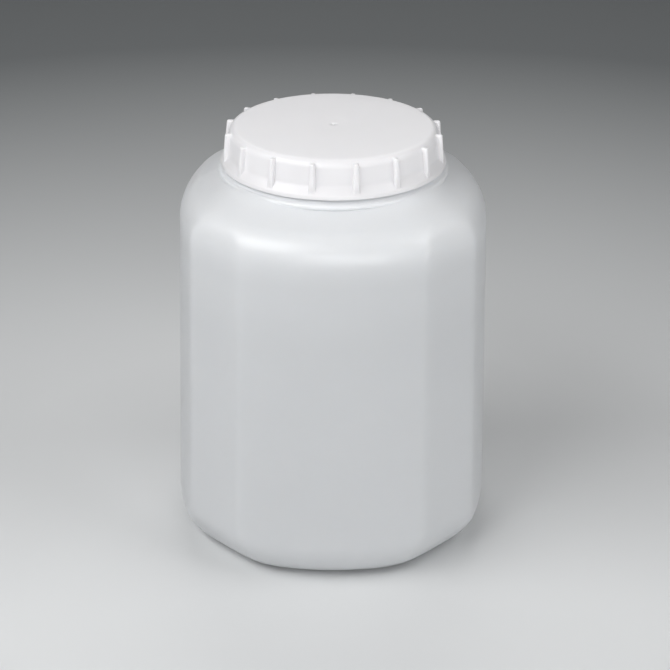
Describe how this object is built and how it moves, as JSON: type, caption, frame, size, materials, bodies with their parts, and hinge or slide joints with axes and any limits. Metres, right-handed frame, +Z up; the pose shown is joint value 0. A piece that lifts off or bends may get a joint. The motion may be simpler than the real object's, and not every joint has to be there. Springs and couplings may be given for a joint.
{
  "type": "wide-mouth reagent bottle",
  "caption": "Wide-mouth plastic reagent bottle with a bowed square body, flattened corners, round shoulder and a ribbed screw cap over a loose sealing disc.",
  "frame": {"origin": "middle of the base, at the level the bottle stands on", "axes": "+Z up along the neck and the thread's axis, -Y towards the front wide face, +X towards the right wide face"},
  "size_m": [0.1434, 0.1434, 0.187],
  "materials": {
    "bottle_plastic": "natural milky polyethylene, satin",
    "cap_plastic": "white translucent polyethylene, satin",
    "disc_foam": "fine closed-cell polyethylene foam, matt"
  },
  "bodies": {
    "bottle": {"bottle": "bottle_plastic"},
    "disc": {"sealing_disc": "disc_foam"},
    "cap": {"screw_cap": "cap_plastic"}
  },
  "joints": [
    {"name": "cap_lift", "type": "slide", "parent": "bottle", "child": "disc", "axis": [0, 0, 1], "range_m": [0, 0.015]},
    {"name": "cap_turn", "type": "hinge", "parent": "disc", "child": "cap", "pos_m": [0, 0, 0.178], "axis": [0, 0, 1], "range_deg": [0, 1080]}
  ],
  "couplings": [
    {"joint": "cap_lift", "follows": "cap_turn", "m_per_rad": 0.00079577}
  ]
}
